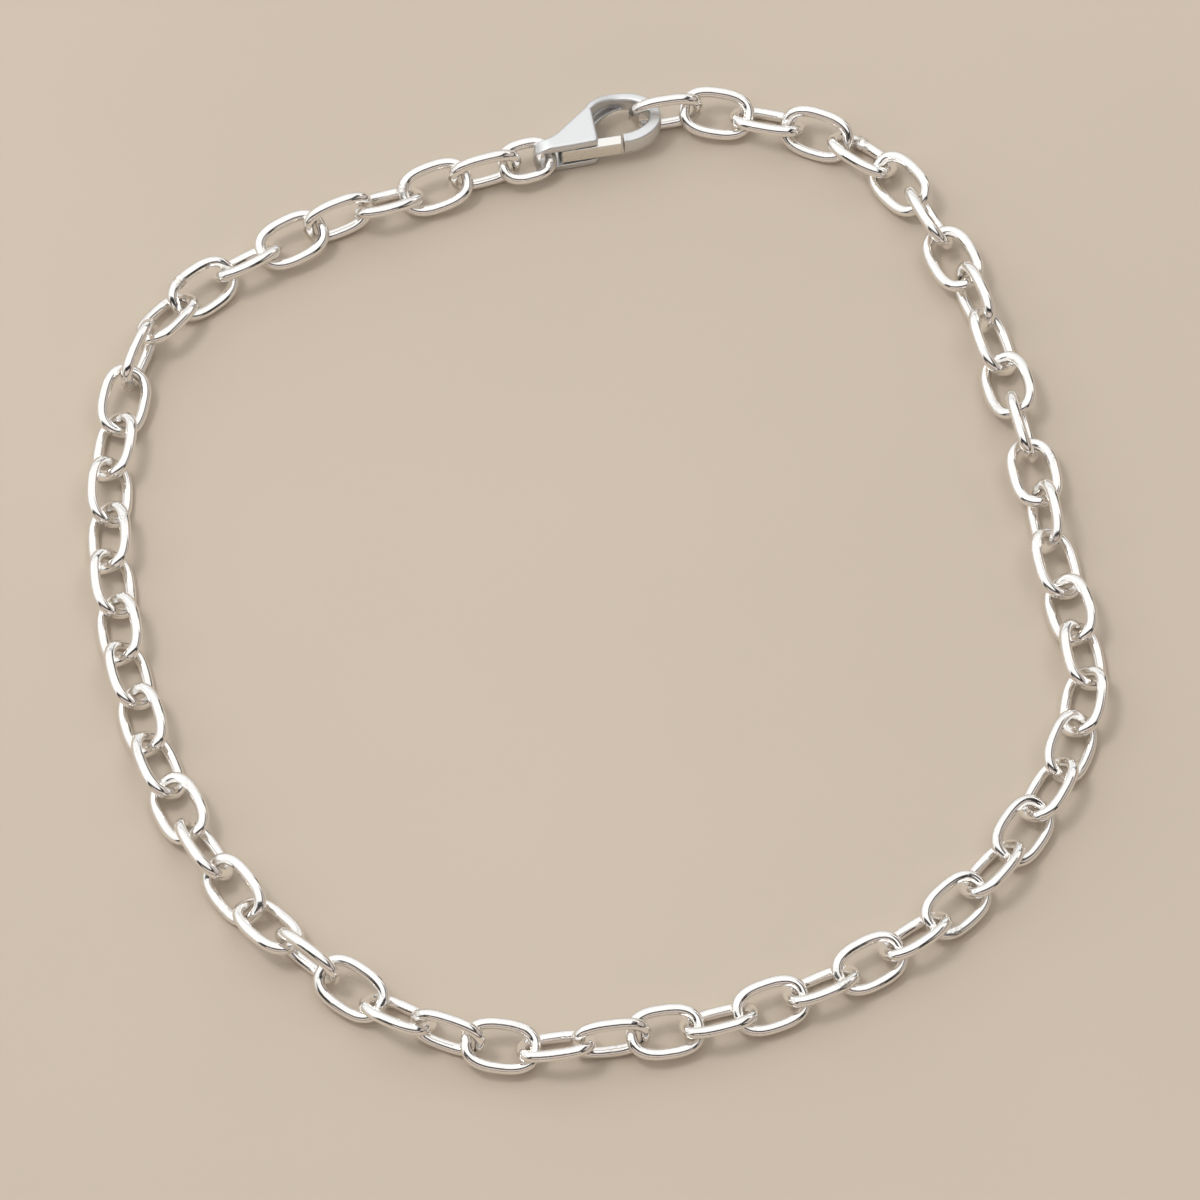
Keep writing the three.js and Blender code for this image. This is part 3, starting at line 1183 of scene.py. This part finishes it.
@dataclass
class Clasp:
    """The lobster-claw clasp.

    Its own plan has x from the tail to the hook and y from the lever to the back, in millimetres. A
    skin is a mesh size, melts are rounds of smoothing, and rim_bend is the bend of a full rim.
    """

    cheeks: Cheeks = Cheeks()
    tail: Tail = Tail()
    hook: Hook = Hook()
    saw: SawCut = SawCut()
    pin: Pin = Pin()
    lever: Lever = Lever()
    hook_joint: Vector = field(default_factory=lambda: Vector((6.87, 2.0)))
    arc_steps: int = 40
    corner_steps: int = 8
    cast_skin: float = 0.04
    cast_melts: int = 3
    lever_skin: float = 0.025
    lever_melts: int = 1
    rim_bend: float = 0.35

    @property
    def tail_joint(self) -> Vector:
        """Where the end ring pulls on the clasp."""
        return Vector((self.tail.wall + self.tail.play, self.tail.radius))

    @property
    def reach(self) -> float:
        """Distance between the clasp's two joints."""
        return (self.hook_joint - self.tail_joint).length

    def shoulder_y(self, x: float) -> float:
        """The cheeks' back edge where it meets the hook."""
        hook = self.hook
        drop = math.sqrt(1 - ((x - hook.x) / hook.half_length) ** 2)
        return hook.y + hook.half_width * drop - self.cheeks.inset

    def body_outline(self) -> list[Vector]:
        """Draws the cheeks and the tail, seen from above.

        Returns:
            The points of their outline.
        """
        cheeks, tail = self.cheeks, self.tail
        rise = Vector(cheeks.rise)
        corner = (cheeks.right - cheeks.corner, cheeks.bow + cheeks.corner)
        turn = arc(corner, (cheeks.corner, cheeks.corner), 0, -90, self.corner_steps)
        front = bow(turn[-1], (rise.x, -cheeks.bow), Vector((tail.radius, 0.0)), self.arc_steps)
        end = arc((tail.radius, tail.radius), (tail.radius, tail.radius), -90, -270, self.arc_steps)
        back = bow(end[-1], cheeks.bend, rise, self.arc_steps)
        corners = [Vector((x, self.shoulder_y(x))) for x in (cheeks.shoulder, cheeks.right)]
        return [*turn, *front[:-1], *end, *back, *corners]

    def nose(self) -> bpy.types.Object:
        """Makes what is taken off the tail's end to round it down as a strap.

        Returns:
            The cutter.
        """
        cheeks, middle = self.cheeks, self.cheeks.thickness / 2
        over = self.saw.over
        rounded = []
        for angle in np.linspace(math.pi / 2, 3 * math.pi / 2, self.arc_steps + 1):
            along, up, size = superellipse(angle, cheeks.nose_power)
            rounded.append((cheeks.nose_length * (1 + along * size), middle * (1 + up * size)))
        outside = [(cheeks.nose_length, -over), (-over, -over), (-over, cheeks.thickness + over)]
        outline = [*rounded, *outside, (cheeks.nose_length, cheeks.thickness + over)]
        sides = (-over, cheeks.rise[1] + over)
        return loft("nose", [[Vector((x, y, z)) for x, z in outline] for y in sides])

    def slot_outline(self) -> list[Vector]:
        """Draws the space between the cheeks, with the opening behind the tail.

        Returns:
            The points of its outline, seen from above.
        """
        cheeks, over, rise = self.cheeks, self.saw.over, Vector(self.cheeks.rise)
        slope = (self.shoulder_y(cheeks.shoulder) - rise.y) / (cheeks.shoulder - rise.x)

        def wall_y(x: float) -> float:
            """The slot's back wall, beside the cheeks' back edge."""
            return rise.y + slope * (x - rise.x) - cheeks.wall * math.hypot(1.0, slope)

        corners = (
            (self.tail.wall, -over),
            (cheeks.right + over, -over),
            (cheeks.right + over, wall_y(cheeks.right)),
            (cheeks.right, wall_y(cheeks.right)),
            (self.tail.hole_end, wall_y(self.tail.hole_end)),
            (self.tail.hole_end, rise.y + over),
            (self.tail.wall, rise.y + over),
        )
        return [Vector(corner) for corner in corners]

    def eye_arc(self, start: float, end: float, steps: int) -> list[Vector]:
        """Points along the hook's inner wall, between two angles in degrees."""
        hook = self.hook
        radii = (hook.eye_half_length, hook.eye_half_width)
        return arc((hook.eye_x, hook.eye_y), radii, start, end, steps)

    def groove_sections(self) -> list[list[Vector]]:
        """Draws the groove in the hook's inner wall, deep at first, which runs out.

        Returns:
            Its sections in order.
        """
        hook, saw, middle = self.hook, self.saw, self.cheeks.thickness / 2
        wall = self.eye_arc(saw.groove_from, saw.groove_to, self.arc_steps)
        sections = []
        for i, point in enumerate(wall):
            out = (point - Vector((hook.eye_x, hook.eye_y))).normalized()
            taper = smooth_step(point.x, hook.taper_from, hook.taper_to)
            half = saw.groove_share * middle * (1 + (hook.scale - 1) * taper)
            level = middle + hook.lift * taper
            depth = saw.groove_depth * (1 - smooth_step(i / self.arc_steps, saw.groove_fade, 1.0))
            far, near = point + out * depth, point - out * saw.groove_overlap
            corners = ((near, -half), (far, -half), (far, half * saw.groove_top), (near, half))
            sections.append([Vector((plan.x, plan.y, level + rise)) for plan, rise in corners])
        return sections

    def hook_sections(self) -> list[list[Vector]]:
        """Draws the hook, rounded along the ring and squarer at the tip.

        Returns:
            Its sections from the root to the tip.
        """
        hook, middle = self.hook, self.cheeks.thickness / 2
        radii = (hook.half_length, hook.half_width)
        outer = arc((hook.x, hook.y), radii, hook.root_degrees, -90, hook.stations)
        inner = self.eye_arc(hook.root_degrees, -90, hook.stations)
        outer.append(Vector((hook.tip_x, outer[-1].y)))
        inner.append(Vector((hook.tip_x, inner[-1].y)))
        sections = []
        for i, (far, near) in enumerate(zip(outer, inner)):
            square = smooth_step(min(i / hook.stations, 1.0), hook.square_from, hook.square_to)
            power = hook.round_power + (hook.tip_power - hook.round_power) * square
            centre, reach = (far + near) / 2, (far - near) / 2
            taper = smooth_step(centre.x, hook.taper_from, hook.taper_to)
            half = middle * (1 + (hook.scale - 1) * taper)
            section = []
            for step in range(hook.section_points):
                angle = 2 * math.pi * (step + 0.5) / hook.section_points
                across, up, size = superellipse(angle, power)
                plan = centre + reach * across * size
                height = middle + hook.lift * taper + half * up * size
                section.append(Vector((plan.x, plan.y, height)))
            sections.append(section)
        return sections

    def hole(self, low: float, high: float) -> bpy.types.Object:
        """Makes a plug as wide as the pin's hole.

        Args:
            low: Height of its underside.
            high: Height of its top.

        Returns:
            The plug.
        """
        radius = self.pin.radius + self.pin.play
        ring = arc((self.pin.x, self.pin.y), (radius, radius), 0, 360, self.arc_steps)[:-1]
        return plate("hole", ring, low, high)

    def cast_body(self) -> bpy.types.Object:
        """Makes the casting: both cheeks, the tail and the hook.

        Returns:
            The casting, in the clasp's own plan.
        """
        cheeks, saw = self.cheeks, self.saw
        casting = plate("clasp_casting", self.body_outline(), 0.0, cheeks.thickness, cheeks.edge)
        combine(casting, self.nose(), Cut.TAKE_AWAY)
        combine(casting, plate("slot", self.slot_outline(), saw.low, saw.high), Cut.TAKE_AWAY)
        combine(casting, loft("hook", self.hook_sections()), Cut.JOIN)
        combine(casting, loft("groove", self.groove_sections()), Cut.TAKE_AWAY)
        return cast(casting, self.cast_skin, self.cast_melts)

    def lever_bar(self) -> bpy.types.Object:
        """Makes the lever, with its tip, its boss and the pin's hole.

        Returns:
            The lever, in the clasp's own plan.
        """
        pin, lever = self.pin, self.lever
        tip = []
        for step in range(lever.tip_steps + 1):
            y = lever.front + step / lever.tip_steps * lever.arm
            tip.append(Vector((pin.x + math.sqrt(lever.reach**2 - (y - pin.y) ** 2), y)))
        boss = arc((pin.x, pin.y), (lever.boss, lever.boss), 0, lever.boss_end, self.arc_steps)
        rear = [Vector((lever.rear, lever.front + lever.rise)), Vector((lever.rear, lever.front))]
        bar = plate("clasp_lever_bar", [*tip, *boss, *rear], lever.low, lever.high, lever.edge)
        combine(bar, self.hole(0.0, self.cheeks.thickness), Cut.TAKE_AWAY)
        return cast(bar, self.lever_skin, self.lever_melts)

    def place(self, tail: Vector, hook: Vector) -> Matrix:
        """Finds the clasp's place between its two joints.

        Args:
            tail: The joint with the end ring.
            hook: The joint with the last link.

        Returns:
            The matrix from the clasp's plan to the frame, both in millimetres.
        """
        own = self.hook_joint - self.tail_joint
        way = hook.xy - tail.xy
        angle = math.atan2(way.y, way.x) - math.atan2(own.y, own.x)
        turn = Matrix.Rotation(angle, 4, "Z")
        corner = tail.xy.to_3d() - turn @ self.tail_joint.to_3d()
        return Matrix.Translation(corner) @ turn

    def build(
        self, place: Matrix, cast_silver: bpy.types.Material, lever_silver: bpy.types.Material
    ) -> None:
        """Makes the casting and the lever, and dresses the pin.

        Args:
            place: The matrix from the clasp's plan to the frame, in millimetres.
            cast_silver: The casting's material.
            lever_silver: The lever's and the pin's material.
        """
        to_metres = Matrix.Scale(MM, 4) @ place
        casting, bar = self.cast_body(), self.lever_bar()
        dressed = (
            (casting, cast_silver, Body.CHAIN, Slot.SATIN, "clasp_body"),
            (bar, lever_silver, Body.LEVER, Slot.POLISHED, "clasp_lever"),
        )
        for piece, silver, body, slot, node in dressed:
            mark_rims(piece.data, self.rim_bend)
            piece.data.transform(to_metres)
            piece.data.shade_smooth()
            piece.data.materials.clear()
            piece.data.materials.append(silver)
            settle(piece, body, [node])
        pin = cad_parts["clasp_pin"]
        pin.data.materials.clear()
        pin.data.materials.append(lever_silver)
        log.info("clasp_pin: kept, in the lever's silver")


# Studio


@dataclass(frozen=True)
class Softbox:
    """A soft light panel, in metres, that faces a point and is not seen by the camera."""

    name: str
    centre: tuple[float, float, float]
    size: tuple[float, float]
    radiance: float
    colour: RGB = (1.0, 1.0, 1.0)
    faces: tuple[float, float, float] = (0.0, 0.0, 0.0)

    def build(self) -> None:
        """Hangs the panel."""
        light = bpy.data.lights.new(self.name, "AREA")
        light.shape = "RECTANGLE"
        light.size, light.size_y = self.size
        light.energy = self.radiance * math.pi * self.size[0] * self.size[1]
        light.color = self.colour
        panel = bpy.data.objects.new(self.name, light)
        panel.location = self.centre
        way = Vector(self.faces) - Vector(self.centre)
        panel.rotation_euler = way.to_track_quat("-Z", "Y").to_euler()
        panel.visible_camera = False
        bpy.context.scene.collection.objects.link(panel)


@dataclass(frozen=True)
class Studio:
    """Pale floor, soft panels above and on all sides, a small key light, and the camera.

    Sizes are in metres and degrees, and the lens and the sensor in millimetres.
    """

    floor_half: float = 3.0
    world: RGB = (0.045, 0.042, 0.04)
    softboxes: tuple[Softbox, ...] = (
        Softbox("overhead panel", (-0.3, 0.3, 0.62), (1.5, 1.38), 1.05, faces=(-0.3, 0.3, 0.0)),
        Softbox("back right panel", (0.75, 0.68, 0.62), (0.6, 0.6), 1.0, faces=(0.75, 0.68, 0.0)),
        Softbox("back panel", (-0.1, 0.98, 0.32), (1.8, 0.5), 0.9, faces=(0.0, 0.0, 0.3)),
        Softbox("left panel", (-0.98, 0.2, 0.34), (1.4, 0.6), 0.9, faces=(0.0, 0.2, 0.3)),
        Softbox("key", (-0.24, 0.04, 0.56), (0.14, 0.14), 13.0, (1.0, 0.985, 0.96)),
        Softbox("front fill", (0.0, -0.97, 0.38), (1.9, 0.5), 0.62, (1.0, 0.85, 0.77)),
        Softbox("right fill", (0.93, 0.1, 0.4), (1.4, 0.56), 0.5, (1.0, 0.88, 0.8)),
    )
    elevation: float = 60.0
    distance: float = 0.443
    target: tuple[float, float, float] = (0.000367, -0.001724, 0.0)
    lens: float = 229.0
    sensor: float = 36.0
    clip_start: float = 0.01

    def build(self) -> None:
        """Sets up floor, lights, world and camera."""
        bpy.context.scene.view_settings.view_transform = "Standard"
        self._floor()
        for softbox in self.softboxes:
            softbox.build()
        world = bpy.data.worlds.new("dim room")
        world.use_nodes = True
        world.node_tree.nodes["Background"].inputs["Color"].default_value = opaque(self.world)
        bpy.context.scene.world = world
        self._camera()

    def _floor(self) -> None:
        """The floor that the bracelet lies on."""
        half = self.floor_half
        mesh = bpy.data.meshes.new("floor")
        corners = [(-half, -half, 0.0), (half, -half, 0.0), (half, half, 0.0), (-half, half, 0.0)]
        mesh.from_pydata(corners, [], [(0, 1, 2, 3)])
        mesh.materials.append(Paper().build())
        floor = bpy.data.objects.new("floor", mesh)
        bpy.context.scene.collection.objects.link(floor)

    def _camera(self) -> None:
        """The camera, in front of the loop and looking down on it."""
        data = bpy.data.cameras.new("camera")
        data.lens, data.sensor_width = self.lens, self.sensor
        data.clip_start = self.clip_start
        camera = bpy.data.objects.new("camera", data)
        rise = math.radians(self.elevation)
        away = Vector((0.0, -math.cos(rise), math.sin(rise)))
        camera.location = Vector(self.target) + self.distance * away
        camera.rotation_euler = (-away).to_track_quat("-Z", "Y").to_euler()
        bpy.context.scene.collection.objects.link(camera)
        bpy.context.scene.camera = camera


# Whole bracelet


def frame_shift(links: Sequence[Link], node: str = "link_12") -> Vector:
    """Finds how far the frame's origin is from the route's, from one link's box.

    Args:
        links: The links along the route.
        node: A node of one link.

    Returns:
        The shift in millimetres.
    """
    low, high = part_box(node)
    middle = links[links_of(node)[0] - 1].middle
    return ((low + high) / (2 * MM) - middle).xy.to_3d()


def main() -> None:
    """Builds the bracelet, its studio and its camera."""
    logging.basicConfig(level=logging.INFO, format="%(name)s: %(message)s")
    polished = Silver("polished sterling").build()
    lever_silver = Silver(
        "lever silver",
        colour=(0.88, 0.86, 0.81),
        roughness=0.16,
        dent_grain=0.22,
        dent_height=0.006,
    ).build()
    cast_silver = Silver(
        "satin cast silver",
        colour=(0.74, 0.75, 0.755),
        roughness=0.36,
        cloud=0.06,
        dent_grain=0.35,
        dent_height=0.008,
        pit_height=0.0035,
        rim_gloss=0.55,
    ).build()

    lay, clasp = Lay(), Clasp()
    links, tail, hook = lay.lay(clasp.reach)
    shift = frame_shift(links)
    placed = [Link(link.number, link.size, link.middle + shift, link.turn) for link in links]
    Chain(lay, placed).build(Wirework(), polished)
    clasp.build(clasp.place(tail + shift, hook + shift), cast_silver, lever_silver)
    Studio().build()


if __name__ == "__main__":
    main()
